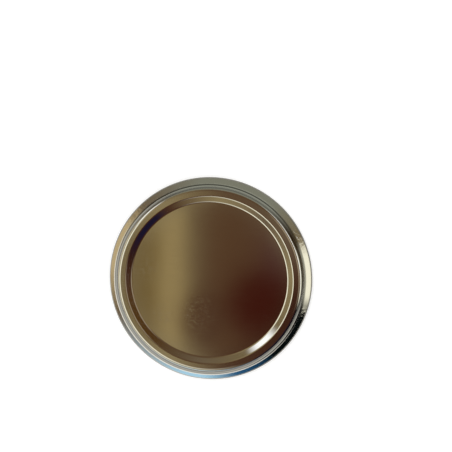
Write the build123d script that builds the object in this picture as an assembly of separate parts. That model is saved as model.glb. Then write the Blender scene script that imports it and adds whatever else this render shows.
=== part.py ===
from build123d import *
import math
import os

# Jar lid: one pressed tinplate shell with a rolled rim, and the sealing ring in the channel under it.
# Millimetres. Z points up, and the lid lies top up on its rolled rim, with its axis on Z.

# The jar that the lid closes
jar_lip_diameter = 81.6
lip_clearance = 0.15

# The pressed shell, measured over its outer face, with its widths counted out and in from the crease
sheet = 0.22
flange_width = 2.83
wall_width = 2.32
land_width = 2.95
step_width = 2.3
lid_height = 6.4
crease_height = 4.2
panel_depth = 1.25

# The bends in the sheet, as radii on its outer face
panel_bend = 1.6
step_bend = 1.4
shoulder_bend = 1.0
crease_bend = 1.0

# The rolled rim, with the sheet's edge placed in degrees from the top of the roll, outward
roll_diameter = 3.0
roll_end = 268.0

# The sealing ring
seal_depth = 1.1
seal_inset = 0.35
seal_face_width = 2.4
seal_wall_reach = 0.9
seal_chamfer = 0.4

# Bends and the roll are drawn as chords that turn this many degrees at most, which keeps the faces few
chord_turn = 33.0

crease = Vector(jar_lip_diameter / 2 + lip_clearance + sheet, crease_height)
shoulder_radius = crease.X - wall_width
land_radius = shoulder_radius - land_width
panel_radius = land_radius - step_width
panel_height = lid_height - panel_depth
roll_radius = roll_diameter / 2
roll_centre = Vector(crease.X + flange_width - roll_radius, roll_radius)
seal_face_height = lid_height - sheet - seal_depth


def around_roll(angle):
    """Point on the rolled rim's outer face, at an angle in degrees from its top, outward."""
    turn = math.radians(angle)
    return roll_centre + Vector(math.sin(turn), math.cos(turn)) * roll_radius


def flange_fall():
    """Slope in degrees of the flange that runs straight from the crease onto the rolled rim."""
    reach = roll_centre - crease
    line_to_centre = math.degrees(math.atan2(-reach.Y, reach.X))
    return line_to_centre - math.degrees(math.asin(roll_radius / reach.length))


def bend_points(before, corner, after, radius):
    """Points along the arc that rounds a corner, from the line into it to the line out of it."""
    line_in = (corner - before).normalized()
    line_out = (after - corner).normalized()
    turn = math.degrees(math.atan2(line_in.X * line_out.Y - line_in.Y * line_out.X, line_in.dot(line_out)))
    start = corner - line_in * radius * math.tan(math.radians(abs(turn) / 2))
    to_centre = line_in.rotate(Axis.Z, math.copysign(90, turn)) * radius
    chords = math.ceil(abs(turn) / chord_turn)
    return [
        start + to_centre - to_centre.rotate(Axis.Z, turn * step / chords) for step in range(chords + 1)
    ]


def rounded(corners, radii):
    """The corners as a line of points, with each inner one rounded by its radius."""
    points = [corners[0]]
    for before, corner, after, radius in zip(corners, corners[1:], corners[2:], radii):
        points += bend_points(before, corner, after, radius)
    return points + [corners[-1]]


def pressed_points():
    """Outer face of the pressing in section, from the axis over step, land and wall to the flange's end."""
    corners = [
        Vector(0, panel_height),
        Vector(panel_radius, panel_height),
        Vector(land_radius, lid_height),
        Vector(shoulder_radius, lid_height),
        crease,
        around_roll(flange_fall()),
    ]
    return rounded(corners, [panel_bend, step_bend, shoulder_bend, crease_bend])


def roll_points():
    """Outer face of the rolled rim in section, over its widest and lowest points to the sheet's edge."""
    stops = [flange_fall(), 90, 180, roll_end]
    points = []
    for start, end in zip(stops, stops[1:]):
        chords = math.ceil((end - start) / chord_turn)
        points += [around_roll(start + (end - start) * step / chords) for step in range(1, chords + 1)]
    return points


def sheet_section():
    """The sheet in section, from the axis to its edge inside the rolled rim."""
    outer_face = Polyline(pressed_points() + roll_points())
    outline = offset(outer_face, amount=sheet, side=Side.RIGHT, kind=Kind.INTERSECTION)
    return Plane.XZ * make_face(outline.edges())


def hollow_section():
    """The space under the pressing in section, down to the surface that the lid lies on."""
    under = Polyline(pressed_points() + [(roll_centre.X, 0), (0, 0)], close=True)
    return Plane.XZ * make_face(under.edges()) - sheet_section()


def seal_section():
    """The sealing ring in section: a flat face for the jar's lip, and a lap down the channel's wall."""
    inner_radius = land_radius + seal_inset
    lap = Polyline(
        (inner_radius, lid_height),
        (inner_radius, seal_face_height + seal_chamfer),
        (inner_radius + seal_chamfer, seal_face_height),
        (inner_radius + seal_face_width, seal_face_height),
        (crease.X, seal_face_height - seal_wall_reach),
        (crease.X, lid_height),
        close=True,
    )
    return Plane.XZ * make_face(lap.edges()) & hollow_section()


def main():
    os.makedirs("parts", exist_ok=True)
    nodes = {
        "lid_shell": revolve(sheet_section(), Axis.Z),
        "sealing_ring": revolve(seal_section(), Axis.Z),
    }
    for name, solid in nodes.items():
        export_step(solid, f"parts/{name}.step")


main()
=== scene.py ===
# Jar lid, top up on a pale floor: the pressed tinplate shell and the sealing ring under it
import math

import bmesh
import bpy
from mathutils import Matrix, Vector


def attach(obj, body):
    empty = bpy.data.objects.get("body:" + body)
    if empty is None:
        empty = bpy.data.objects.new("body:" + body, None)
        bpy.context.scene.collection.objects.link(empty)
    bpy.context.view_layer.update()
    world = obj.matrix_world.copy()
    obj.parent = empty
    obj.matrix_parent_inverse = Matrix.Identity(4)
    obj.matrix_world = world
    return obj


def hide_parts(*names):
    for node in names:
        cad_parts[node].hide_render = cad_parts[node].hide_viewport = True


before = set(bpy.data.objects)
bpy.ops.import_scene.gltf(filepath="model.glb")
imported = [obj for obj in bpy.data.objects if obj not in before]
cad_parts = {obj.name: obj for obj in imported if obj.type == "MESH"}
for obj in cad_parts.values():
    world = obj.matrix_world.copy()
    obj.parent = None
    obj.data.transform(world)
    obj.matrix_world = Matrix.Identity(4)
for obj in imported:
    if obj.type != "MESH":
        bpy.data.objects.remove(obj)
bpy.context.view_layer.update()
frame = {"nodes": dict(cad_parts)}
mm = 0.001
print("frame loaded:", ", ".join(frame["nodes"]))


# the camera

camera = {
    "place": Vector((33.97, 46.07, 294.49)) * mm,  # the eye, 11 degrees off overhead
    "aim": Vector((6.9, 22.94, 0.0)) * mm,  # what sits in the middle of the picture
    "pixelsPerMm": 2.3019,  # at the middle of the lid
    "picture": 452,  # its width in pixels
    "sensor": 36.0,  # its width in millimetres, as the lens is
    "clip": (0.01, 50.0),
}


def makeCamera():
    data = bpy.data.cameras.new("lidCamera")
    cam = bpy.data.objects.new("lidCamera", data)
    bpy.context.collection.objects.link(cam)
    back = (camera["place"] - camera["aim"]).normalized()
    right = Vector((0, 1, 0)).cross(back).normalized()
    up = back.cross(right)
    turned = Matrix((right, up, back)).transposed().to_4x4()
    cam.matrix_world = Matrix.Translation(camera["place"]) @ turned
    reach = back.dot(camera["place"]) / mm
    data.sensor_width = camera["sensor"]
    data.lens = camera["pixelsPerMm"] * reach / camera["picture"] * camera["sensor"]
    data.clip_start, data.clip_end = camera["clip"]
    bpy.context.scene.camera = cam


# small helpers for objects and node trees

def place(tree, kind, inputs=None, **settings):
    node = tree.nodes.new(kind)
    for name, value in settings.items():
        setattr(node, name, value)
    for key, value in (inputs or {}).items():
        if isinstance(value, bpy.types.NodeSocket):
            tree.links.new(value, node.inputs[key])
        else:
            node.inputs[key].default_value = value
    return node


def maths(tree, operation, *values):
    return place(tree, "ShaderNodeMath", dict(enumerate(values)), operation=operation).outputs[0]


def addUp(tree, total, layers):
    for mask, amount in layers:
        total = maths(tree, "MULTIPLY_ADD", mask, amount, total)
    return total


def blend(tree, factor, first, second, mode="MIX"):
    inputs = {0: factor, 6: first, 7: second}  # the sockets that a mix of colours uses
    return place(tree, "ShaderNodeMix", inputs, data_type="RGBA", blend_type=mode).outputs[2]


def fade(tree, value, start, end):
    inputs = {"Value": value, "From Min": start, "From Max": end}
    return place(tree, "ShaderNodeMapRange", inputs, interpolation_type="SMOOTHSTEP").outputs["Result"]


def noise(tree, vector, scale, detail):
    inputs = {"Vector": vector, "Scale": scale, "Detail": detail}
    return place(tree, "ShaderNodeTexNoise", inputs).outputs["Fac"]


def stretched(tree, vector, scale):
    return place(tree, "ShaderNodeMapping", {"Vector": vector, "Scale": scale}).outputs[0]


def inMillimetres(tree, tall=1.0):
    spot = tree.nodes.new("ShaderNodeTexCoord").outputs["Object"]
    return stretched(tree, spot, (1 / mm, 1 / mm, tall / mm))


def bumped(tree, height):  # the height is in millimetres
    return place(tree, "ShaderNodeBump", {"Strength": 1.0, "Distance": mm, "Height": height}).outputs[0]


def colour(red, green, blue):  # as a screen shows it, from 0 to 255
    parts = [part / 255 for part in (red, green, blue)]
    return [part / 12.92 if part < 0.04045 else ((part + 0.055) / 1.055) ** 2.4 for part in parts] + [1.0]


def ramp(tree, value, stops, mode="LINEAR"):
    node = place(tree, "ShaderNodeValToRGB", {"Fac": value})
    node.color_ramp.interpolation = mode
    while len(node.color_ramp.elements) < len(stops):
        node.color_ramp.elements.new(1.0)
    for element, (where, shade) in zip(node.color_ramp.elements, stops):
        element.position = where
        element.color = shades[shade]
    return node.outputs["Color"]


def newMaterial(name):
    material = bpy.data.materials.new(name)
    material.use_nodes = True
    tree = material.node_tree
    tree.nodes.clear()
    return material, tree, tree.nodes.new("ShaderNodeOutputMaterial")


def newObject(name, bm, material):
    mesh = bpy.data.meshes.new(name)
    bm.to_mesh(mesh)
    bm.free()
    mesh.materials.append(material)
    made = bpy.data.objects.new(name, mesh)
    bpy.context.collection.objects.link(made)
    return made


# floor, world and lamps

studio = {
    "floorSize": 1.4,
    "floorColour": (0.62, 0.62, 0.61, 1.0),
    "floorRoughness": 0.9,
    "floorGloss": 0.1,
    "floorLift": 0.48,  # own light that eye, gloss and glass see, so that the floor looks white
    "world": 0.6,  # what it lights the lid with; seen directly or in gloss it is white
    "lamps": [  # name, place, size and power
        ("overheadSoftbox", Vector((-0.35, 0.45, 1.1)), 0.8, 6.0),
        ("fillSoftbox", Vector((0.7, -0.5, 0.8)), 0.9, 3.0),
    ],
}


def seenRays(tree):
    path = tree.nodes.new("ShaderNodeLightPath")
    seen = maths(tree, "MAXIMUM", path.outputs["Is Camera Ray"], path.outputs["Is Glossy Ray"])
    return maths(tree, "MAXIMUM", seen, path.outputs["Is Transmission Ray"])


def makeFloor():
    bm = bmesh.new()
    bmesh.ops.create_grid(bm, x_segments=1, y_segments=1, size=studio["floorSize"] / 2)
    material, tree, output = newMaterial("paleFloor")
    inputs = {
        "Base Color": studio["floorColour"],
        "Roughness": studio["floorRoughness"],
        "Specular IOR Level": studio["floorGloss"],
        "Emission Color": (1, 1, 1, 1),
        "Emission Strength": maths(tree, "MULTIPLY", seenRays(tree), studio["floorLift"]),
    }
    surface = place(tree, "ShaderNodeBsdfPrincipled", inputs)
    below = tree.nodes.new("ShaderNodeNewGeometry").outputs["Backfacing"]
    clear = tree.nodes.new("ShaderNodeBsdfTransparent")
    mix = place(tree, "ShaderNodeMixShader", {0: below, 1: surface.outputs[0], 2: clear.outputs[0]})
    tree.links.new(mix.outputs[0], output.inputs["Surface"])
    floor = newObject("floor", bm, material)
    floor.visible_diffuse = False
    floor.visible_shadow = False


def makeWorld():
    world = bpy.data.worlds.new("softWorld")
    bpy.context.scene.world = world
    world.use_nodes = True
    tree = world.node_tree
    tree.nodes.clear()
    strength = maths(tree, "MAXIMUM", seenRays(tree), studio["world"])
    background = place(tree, "ShaderNodeBackground", {"Color": (1, 1, 1, 1), "Strength": strength})
    output = tree.nodes.new("ShaderNodeOutputWorld")
    tree.links.new(background.outputs[0], output.inputs["Surface"])


def makeLamps():
    for name, spot, size, power in studio["lamps"]:
        data = bpy.data.lights.new(name, "AREA")
        data.size = size
        data.energy = power
        lamp = bpy.data.objects.new(name, data)
        towardsLid = spot.to_track_quat("Z", "Y").to_matrix().to_4x4()
        lamp.matrix_world = Matrix.Translation(spot) @ towardsLid
        lamp.visible_glossy = False
        bpy.context.collection.objects.link(lamp)


bpy.context.scene.view_settings.view_transform = "Standard"
makeCamera()
makeFloor()
makeWorld()
makeLamps()
print("camera, floor, world and lamps made")


# the room that the metal reflects, in colours as they show in the metal

shades = {
    "lamp": colour(255, 255, 250),
    "cream": colour(240, 235, 210),
    "sand": colour(180, 160, 120),
    "brightBrass": colour(150, 130, 85),
    "brass": colour(135, 120, 85),
    "tan": colour(110, 95, 65),
    "stone": colour(150, 135, 110),
    "drab": colour(100, 85, 65),
    "umber": colour(85, 65, 45),
    "olive": colour(100, 80, 40),
    "russet": colour(80, 55, 35),
    "brown": colour(70, 45, 30),
    "bark": colour(75, 50, 20),
    "plum": colour(70, 40, 40),
    "maroon": colour(50, 25, 15),
    "red": colour(55, 10, 5),
    "navy": colour(25, 20, 40),
    "black": colour(5, 10, 10),
    "blue": colour(40, 85, 120),
    "sky": colour(165, 205, 225),
    "silver": colour(150, 165, 170),
    "sage": colour(120, 120, 105),
    "haze": colour(210, 210, 190),
}

room = {
    "radius": 3.0,
    "subdivisions": 5,
    "tilt": 11.0,  # degrees from overhead, towards what the middle of the panel reflects
    "towards": 233.6,
    "panelReach": 33.2 / 294,  # half the panel over the eye's height, as a slope
    "wander": 0.10,  # how far the overhead colours stray from straight columns
    "wanderScale": 1.4,
    "overhead": [  # across the panel, from left to right
        (0.00, "olive"),
        (0.10, "olive"),
        (0.19, "brightBrass"),
        (0.29, "brightBrass"),
        (0.34, "tan"),
        (0.42, "umber"),
        (0.54, "russet"),
        (0.74, "russet"),
        (1.00, "plum"),
    ],
    "landRing": [  # the rings go round clockwise from the right
        (0.00, "brown"),
        (0.04, "maroon"),
        (0.22, "brown"),
        (0.32, "brass"),
        (0.38, "tan"),
        (0.58, "tan"),
        (0.66, "brass"),
        (0.78, "umber"),
        (0.92, "drab"),
        (1.00, "brown"),
    ],
    "lines": [
        (0.00, "stone"),
        (0.06, "maroon"),
        (0.20, "brown"),
        (0.34, "cream"),
        (0.58, "cream"),
        (0.64, "brass"),
        (0.75, "umber"),
        (0.86, "umber"),
        (0.90, "stone"),
        (1.00, "stone"),
    ],
    "stepRing": [
        (0.00, "brown"),
        (0.05, "maroon"),
        (0.11, "navy"),
        (0.155, "navy"),
        (0.185, "brown"),
        (0.28, "brass"),
        (0.37, "drab"),
        (0.47, "brass"),
        (0.58, "tan"),
        (0.605, "lamp"),
        (0.635, "lamp"),
        (0.66, "tan"),
        (0.76, "drab"),
        (0.87, "bark"),
        (0.96, "bark"),
        (1.00, "brown"),
    ],
    "shoulderRing": [
        (0.00, "lamp"),
        (0.04, "cream"),
        (0.06, "black"),
        (0.18, "black"),
        (0.34, "haze"),
        (0.55, "haze"),
        (0.60, "sage"),
        (0.84, "sage"),
        (0.91, "lamp"),
        (1.00, "lamp"),
    ],
    "flangeRing": [
        (0.00, "cream"),
        (0.045, "cream"),
        (0.07, "black"),
        (0.16, "black"),
        (0.225, "blue"),
        (0.275, "sky"),
        (0.30, "sky"),
        (0.35, "silver"),
        (0.43, "drab"),
        (0.50, "sand"),
        (0.57, "sand"),
        (0.61, "drab"),
        (0.72, "sage"),
        (0.86, "sage"),
        (0.945, "tan"),
        (0.97, "cream"),
        (1.00, "cream"),
    ],
    "skirting": [
        (0.00, "olive"),
        (0.05, "umber"),
        (0.08, "black"),
        (0.16, "black"),
        (0.25, "haze"),
        (0.56, "haze"),
        (0.60, "tan"),
        (0.68, "haze"),
        (0.86, "haze"),
        (0.93, "bark"),
        (1.00, "olive"),
    ],
    "patches": [  # shade, middle and reach over the panel, and softness
        ("brown", (-0.11, -0.52, 0.0), (0.31, 0.42, 1.0), 0.18),
        ("red", (0.70, -0.34, 0.0), (0.46, 0.50, 1.0), 0.40),
    ],
    "rings": [  # where each ring takes over from the one before, in degrees from the middle
        ("landRing", 6.6, 7.1),
        ("lines", 9.0, 15.0),
        ("stepRing", 34.0, 42.0),
        ("shoulderRing", 54.0, 57.0),
        ("flangeRing", 65.0, 69.0),
        ("skirting", 88.0, 92.0),
    ],
    "metal": (0.84, 0.80, 0.70, 1.0),  # what the lid's own metal takes off the colours
}


def outwards(tree, spot):
    ahead = math.radians(room["towards"])
    axis = Vector((0, 0, 1)).cross(Vector((math.cos(ahead), math.sin(ahead), 0)))
    inputs = {"Vector": spot, "Axis": axis, "Angle": -math.radians(room["tilt"])}
    turned = place(tree, "ShaderNodeVectorRotate", inputs, rotation_type="AXIS_ANGLE").outputs[0]
    unit = place(tree, "ShaderNodeVectorMath", {0: turned}, operation="NORMALIZE").outputs[0]
    return place(tree, "ShaderNodeSeparateXYZ", {0: unit}).outputs


def overheadColours(tree, spot, across, along):
    wander = maths(tree, "SUBTRACT", noise(tree, spot, room["wanderScale"], detail=2.0), 0.5)
    wander = maths(tree, "MULTIPLY", wander, room["wander"])
    column = maths(tree, "ADD", maths(tree, "MULTIPLY_ADD", across, 0.5, 0.5), wander)
    colours = ramp(tree, column, room["overhead"], "EASE")
    for shade, middle, reach, softness in room["patches"]:
        gap = place(tree, "ShaderNodeCombineXYZ", {0: across, 1: along}).outputs[0]
        gap = place(tree, "ShaderNodeVectorMath", {0: gap, 1: middle}, operation="SUBTRACT").outputs[0]
        gap = place(tree, "ShaderNodeVectorMath", {0: gap, 1: reach}, operation="DIVIDE").outputs[0]
        gap = place(tree, "ShaderNodeVectorMath", {0: gap}, operation="LENGTH").outputs["Value"]
        inPatch = fade(tree, gap, 1.0 + softness, 1.0 - softness)
        colours = blend(tree, inPatch, colours, shades[shade])
    return colours


def makeRoom():
    bm = bmesh.new()
    bmesh.ops.create_icosphere(bm, subdivisions=room["subdivisions"], radius=room["radius"])
    bmesh.ops.reverse_faces(bm, faces=bm.faces)
    material, tree, output = newMaterial("roomWalls")
    spot = tree.nodes.new("ShaderNodeTexCoord").outputs["Object"]
    x, y, z = outwards(tree, spot)
    fall = maths(tree, "MULTIPLY", maths(tree, "ARCCOSINE", z), 180 / math.pi)
    around = maths(tree, "ARCTAN2", maths(tree, "MULTIPLY", y, -1.0), x)
    clock = maths(tree, "FRACT", maths(tree, "DIVIDE", around, math.tau))
    across = maths(tree, "DIVIDE", maths(tree, "DIVIDE", x, z), room["panelReach"])
    along = maths(tree, "DIVIDE", maths(tree, "DIVIDE", y, z), room["panelReach"])
    colours = overheadColours(tree, spot, across, along)
    for ring, start, end in room["rings"]:
        colours = blend(tree, fade(tree, fall, start, end), colours, ramp(tree, clock, room[ring]))
    lit = blend(tree, 1.0, colours, room["metal"], "DIVIDE")
    glow = place(tree, "ShaderNodeEmission", {"Color": lit, "Strength": 1.0})
    tree.links.new(glow.outputs[0], output.inputs["Surface"])
    dome = newObject("room", bm, material)
    dome.visible_camera = False
    dome.visible_diffuse = False
    dome.visible_transmission = False
    dome.visible_shadow = False


makeRoom()
print("room made")


# shapes in section, turned round the lid's axis

lid = {  # all in millimetres
    "sheet": 0.22,
    "corners": [(0.0, 5.15), (33.6, 5.15), (35.9, 6.4), (38.85, 6.4), (41.17, 4.2)],
    "bends": [(1.6, 8), (1.4, 8), (1.9, 12), (12.0, 24)],  # radius and steps
    "ripple": (39.4, 42.2, 1.3, 0.018),  # from and to, one wave's length, and height
    "rippleAbove": 2.7,
    "rollCentre": (42.5, 1.5),
    "rollRadius": 1.5,
    "rollEnd": 268.0,  # degrees from the top of the roll, outward
    "rollSteps": 32,
    "turns": 288,
}


def inSection(pair):
    return Vector((pair[0], 0, pair[1])) * mm


def runTo(bm, end, target, edge=0.12 * mm):  # short edges beside a bend keep its shading crisp
    run = target - end.co
    stops = [run]
    if run.length > 4 * edge:
        step = run.normalized() * edge
        stops = [step, run - 2 * step, step]
    for stop in stops:
        made = bmesh.ops.extrude_vert_indiv(bm, verts=[end])
        end = made["verts"][0]
        bmesh.ops.translate(bm, verts=[end], vec=stop)
    return end


def bendRound(bm, end, centre, turn, steps):
    made = bmesh.ops.spin(
        bm, geom=[end], cent=centre, axis=(0, 1, 0), angle=turn, steps=steps, use_duplicate=False
    )
    return next(item for item in made["geom_last"] if isinstance(item, bmesh.types.BMVert))


def flangeFall():
    reach = inSection(lid["rollCentre"]) - inSection(lid["corners"][-1])
    return math.atan2(-reach.z, reach.x) - math.asin(lid["rollRadius"] * mm / reach.length)


def drawShellSection(bm):
    fall = flangeFall()
    centre = inSection(lid["rollCentre"])
    ontoRoll = centre + Vector((math.sin(fall), 0, math.cos(fall))) * lid["rollRadius"] * mm
    corners = [inSection(pair) for pair in lid["corners"]] + [ontoRoll]
    end = bm.verts.new(corners[0])
    for before, corner, after, (radius, steps) in zip(corners, corners[1:], corners[2:], lid["bends"]):
        lineIn = (corner - before).normalized()
        lineOut = (after - corner).normalized()
        turn = math.atan2(lineIn.z, lineIn.x) - math.atan2(lineOut.z, lineOut.x)
        start = corner - lineIn * radius * mm * math.tan(abs(turn) / 2)
        side = Vector((lineIn.z, 0, -lineIn.x)) * math.copysign(radius * mm, turn)
        end = runTo(bm, end, start)
        end = bendRound(bm, end, start + side, turn, steps)
    end = runTo(bm, end, ontoRoll)
    bendRound(bm, end, centre, math.radians(lid["rollEnd"]) - fall, lid["rollSteps"])


def drawRipples(bm):
    start, end, wave, height = lid["ripple"]
    for vert in bm.verts:
        along = (vert.co.x / mm - start) / (end - start)
        if 0 < along < 1 and vert.co.z > lid["rippleAbove"] * mm:
            swell = math.sin(math.pi * along) ** 0.5
            lift = height * swell * math.sin(math.tau * (end - start) / wave * along)
            bmesh.ops.translate(bm, verts=[vert], vec=(0, 0, lift * mm))


def turnRound(bm, turns, seam=1e-7):  # points nearer than the seam, in metres, become one
    bmesh.ops.spin(
        bm,
        geom=bm.verts[:] + bm.edges[:],
        cent=(0, 0, 0),
        axis=(0, 0, 1),
        angle=math.tau,
        steps=turns,
        use_merge=True,
    )
    bmesh.ops.remove_doubles(bm, verts=bm.verts, dist=seam)
    bmesh.ops.recalc_face_normals(bm, faces=bm.faces)


def finishPiece(name, bm, material, node):
    piece = newObject(name, bm, material)
    piece.data.shade_smooth()
    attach(piece, "root")
    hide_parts(node)
    piece.data.calc_loop_triangles()
    print(name, "made,", len(piece.data.loop_triangles), "triangles")


def makeShell(material):
    bm = bmesh.new()
    drawShellSection(bm)
    drawRipples(bm)
    turnRound(bm, lid["turns"])
    top = max(bm.faces, key=lambda face: face.calc_center_median().z)
    if top.normal.z < 0:
        bmesh.ops.reverse_faces(bm, faces=bm.faces)
    bmesh.ops.solidify(bm, geom=bm.faces, thickness=lid["sheet"] * mm)
    finishPiece("pressedShell", bm, material, "lid_shell")


seal = {  # all in millimetres
    "section": [(36.25, 6.19), (36.25, 5.08), (38.65, 5.08), (40.72, 4.38), (39.35, 5.6), (38.2, 6.17)],
    "roundings": [(1, 0.45), (2, 0.5)],  # which corner, and how far
    "roundingSteps": 6,
    "turns": 240,
}


def makeSeal(material):
    bm = bmesh.new()
    corners = [bm.verts.new(inSection(pair)) for pair in seal["section"]]
    for first, second in zip(corners, corners[1:] + corners[:1]):
        bm.edges.new((first, second))
    for which, reach in seal["roundings"]:
        bmesh.ops.bevel(
            bm,
            geom=[corners[which]],
            offset=reach * mm,
            affect="VERTICES",
            segments=seal["roundingSteps"],
            profile=0.5,
            material=-1,
        )
    turnRound(bm, seal["turns"])
    finishPiece("sealBand", bm, material, "sealing_ring")


# finishes

tinplate = {  # heights and places in millimetres, radii from the lid's axis
    "colour": (0.84, 0.80, 0.70, 1.0),
    # the wall between the land and the flange is painted darker than the metal: painted shade in the
    # crease, crossed by lighter and darker painted reflection lines
    "wallPaintedReflection": (0.37, 0.36, 0.315, 1.0),
    "wallPaintedShade": (0.14, 0.135, 0.12, 1.0),
    # the outer edge of the rolled rim is painted dark: painted shade and a painted dark reflection along
    # the outline
    "rimPaintedShade": (0.17, 0.16, 0.135, 1.0),
    "speckColour": (0.45, 0.40, 0.30, 1.0),
    "speckStrength": 0.12,
    "roughness": 0.085,
    "wallRoughness": 0.04,
    "rimRoughness": 0.16,
    "scratchRoughness": 0.10,
    "grainRoughness": 0.04,
    "grainHeight": 0.0005,
    "waveHeight": 0.03,
    "drawHeight": 0.004,
    "dentHeight": 0.09,
    "scratchHeight": 0.0005,
    "grainStretch": (0.10, 2.6, 2.6),
    "dashStretch": (0.6, 5.5, 5.5),
    "dashLevels": (0.59, 0.70),
    "waveScale": 0.045,
    "drawScale": 1.6,
    # where the wall's painted reflection lines turn from dark to light
    "paintedLineLevels": (0.40, 0.62),
    "wallStart": (39.0, 39.5),
    "wallEnd": (41.5, 41.0),
    "drawnFrom": (38.9, 39.6),
    "dentedFrom": (41.2, 41.8),
    "rimFrom": (43.2, 43.7),
    "scuffs": [(-4.0, -14.0, 12.0), (-25.0, 4.0, 8.0), (-20.0, -15.0, 7.0)],  # across, up and reach
    "scuffElsewhere": 0.12,  # share of the scuffs' strength away from these places
    "knocks": [(132.0, 6.0), (144.0, 4.0), (26.0, 7.0), (-21.0, 5.0)],  # degrees round the flange, reach
    "knockRadius": 42.6,
    "knockElsewhere": 0.03,
    "dentGrain": 0.9,
    "dentCover": -0.05,
}

compound = {
    "colour": colour(214, 204, 184),
    "dark": colour(186, 174, 152),
    "roughness": 0.48,
    "speckRoughness": 0.12,
    "flowHeight": 0.02,
    "flowGrain": 1.4,
    "mottleScale": 0.35,
    "mottleLevels": (0.35, 0.7),
}

speckles = {
    "sockets": [
        ("Vector", "INPUT", "NodeSocketVector"),
        ("Grain", "INPUT", "NodeSocketFloat"),
        ("Cover", "INPUT", "NodeSocketFloat"),
        ("Height", "OUTPUT", "NodeSocketFloat"),
        ("Specks", "OUTPUT", "NodeSocketFloat"),
    ],
    "patchScale": 0.09,
    "patchShare": 0.3,
    "levels": (0.66, 0.74),
}


def makeSpeckleGroup():
    group = bpy.data.node_groups.new("fineSpeckle", "ShaderNodeTree")
    for name, side, kind in speckles["sockets"]:
        group.interface.new_socket(name, in_out=side, socket_type=kind)
    given = group.nodes.new("NodeGroupInput").outputs
    fine = noise(group, given["Vector"], given["Grain"], detail=4.0)
    patches = noise(group, given["Vector"], speckles["patchScale"], detail=2.0)
    share = speckles["patchShare"]
    level = maths(group, "MULTIPLY_ADD", fine, 1.0 - share, maths(group, "MULTIPLY", patches, share))
    specks = fade(group, maths(group, "ADD", level, given["Cover"]), *speckles["levels"])
    result = group.nodes.new("NodeGroupOutput")
    group.links.new(fine, result.inputs["Height"])
    group.links.new(specks, result.inputs["Specks"])
    return group


def speckle(tree, group, vector, grain, cover):
    inputs = {"Vector": vector, "Grain": grain, "Cover": cover}
    node = place(tree, "ShaderNodeGroup", inputs, node_tree=group)
    return node.outputs["Height"], node.outputs["Specks"]


def nearTo(tree, vector, middle, reach, core=0.3):  # in full over the core, a share of the reach
    gap = place(tree, "ShaderNodeVectorMath", {0: vector, 1: middle}, operation="DISTANCE")
    return fade(tree, gap.outputs["Value"], reach, reach * core)


def scuffMarks(tree, inMm, flat):
    dashes = noise(tree, stretched(tree, inMm, tinplate["dashStretch"]), scale=1.0, detail=1.0)
    near = tinplate["scuffElsewhere"]
    for across, up, reach in tinplate["scuffs"]:
        near = maths(tree, "MAXIMUM", near, nearTo(tree, flat, (across, up, 0.0), reach))
    return maths(tree, "MULTIPLY", fade(tree, dashes, *tinplate["dashLevels"]), near)


def flangeKnocks(tree, flat, fromAxis):
    near = tinplate["knockElsewhere"]
    for angle, reach in tinplate["knocks"]:
        turn = math.radians(angle)
        middle = Vector((math.cos(turn), math.sin(turn), 0.0)) * tinplate["knockRadius"]
        near = maths(tree, "MAXIMUM", near, nearTo(tree, flat, middle, reach))
    return maths(tree, "MULTIPLY", near, fade(tree, fromAxis, *tinplate["dentedFrom"]))


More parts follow.
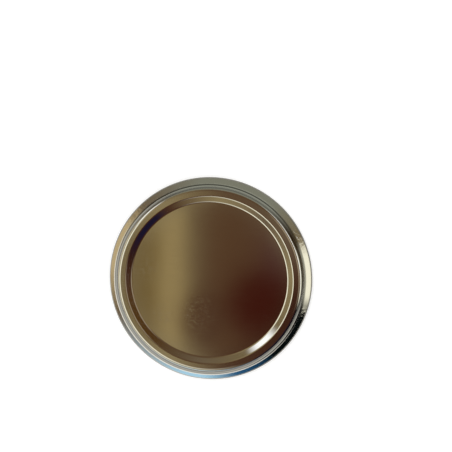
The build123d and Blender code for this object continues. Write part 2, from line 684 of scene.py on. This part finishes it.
def makeTinplate(group):
    material, tree, output = newMaterial("lacqueredTinplate")
    inMm = inMillimetres(tree)
    flat = inMillimetres(tree, 0.0)
    fromAxis = place(tree, "ShaderNodeVectorMath", {0: flat}, operation="LENGTH").outputs["Value"]

    grain = noise(tree, stretched(tree, inMm, tinplate["grainStretch"]), scale=1.0, detail=3.0)
    waves = noise(tree, inMm, tinplate["waveScale"], detail=1.0)
    inputs = {"W": fromAxis, "Scale": tinplate["drawScale"], "Detail": 1.0}
    draw = place(tree, "ShaderNodeTexNoise", inputs, noise_dimensions="1D").outputs["Fac"]
    scratches = scuffMarks(tree, inMm, flat)
    dents, specks = speckle(tree, group, inMm, tinplate["dentGrain"], tinplate["dentCover"])

    wallStart = fade(tree, fromAxis, *tinplate["wallStart"])
    onWall = maths(tree, "MULTIPLY", wallStart, fade(tree, fromAxis, *tinplate["wallEnd"]))
    onRim = fade(tree, fromAxis, *tinplate["rimFrom"])
    drawn = maths(tree, "MULTIPLY", draw, fade(tree, fromAxis, *tinplate["drawnFrom"]))
    dented = maths(tree, "MULTIPLY", dents, flangeKnocks(tree, flat, fromAxis))

    relief = [
        (grain, tinplate["grainHeight"]),
        (waves, tinplate["waveHeight"]),
        (drawn, tinplate["drawHeight"]),
        (dented, tinplate["dentHeight"]),
        (scratches, tinplate["scratchHeight"]),
    ]
    dullness = [
        (onWall, tinplate["wallRoughness"]),
        (onRim, tinplate["rimRoughness"]),
        (scratches, tinplate["scratchRoughness"]),
        (maths(tree, "MULTIPLY", grain, grain), tinplate["grainRoughness"]),
    ]
    # painted shade on the wall, broken into lighter and darker painted reflection lines by the draw noise
    paintedWallTone = blend(
        tree, fade(tree, draw, *tinplate["paintedLineLevels"]), tinplate["wallPaintedShade"], tinplate["wallPaintedReflection"]
    )
    shade = blend(tree, onWall, tinplate["colour"], paintedWallTone)
    # painted shade and painted dark reflection on the rim's outer edge
    shade = blend(tree, onRim, shade, tinplate["rimPaintedShade"])
    specks = maths(tree, "MULTIPLY", specks, tinplate["speckStrength"])
    inputs = {
        "Base Color": blend(tree, specks, shade, tinplate["speckColour"]),
        "Metallic": 1.0,
        "Roughness": addUp(tree, tinplate["roughness"], dullness),
        "Normal": bumped(tree, addUp(tree, 0.0, relief)),
    }
    surface = place(tree, "ShaderNodeBsdfPrincipled", inputs)
    tree.links.new(surface.outputs[0], output.inputs["Surface"])
    return material


def makeCompound(group):
    material, tree, output = newMaterial("sealingCompound")
    inMm = inMillimetres(tree)
    flow, specks = speckle(tree, group, inMm, compound["flowGrain"], cover=0.0)
    mottle = noise(tree, inMm, compound["mottleScale"], detail=3.0)
    darker = fade(tree, mottle, *compound["mottleLevels"])
    height = maths(tree, "MULTIPLY", maths(tree, "ADD", flow, mottle), compound["flowHeight"])
    inputs = {
        "Base Color": blend(tree, darker, compound["colour"], compound["dark"]),
        "Roughness": addUp(tree, compound["roughness"], [(specks, compound["speckRoughness"])]),
        "Normal": bumped(tree, height),
    }
    surface = place(tree, "ShaderNodeBsdfPrincipled", inputs)
    tree.links.new(surface.outputs[0], output.inputs["Surface"])
    return material


fineSpeckle = makeSpeckleGroup()
makeShell(makeTinplate(fineSpeckle))
makeSeal(makeCompound(fineSpeckle))
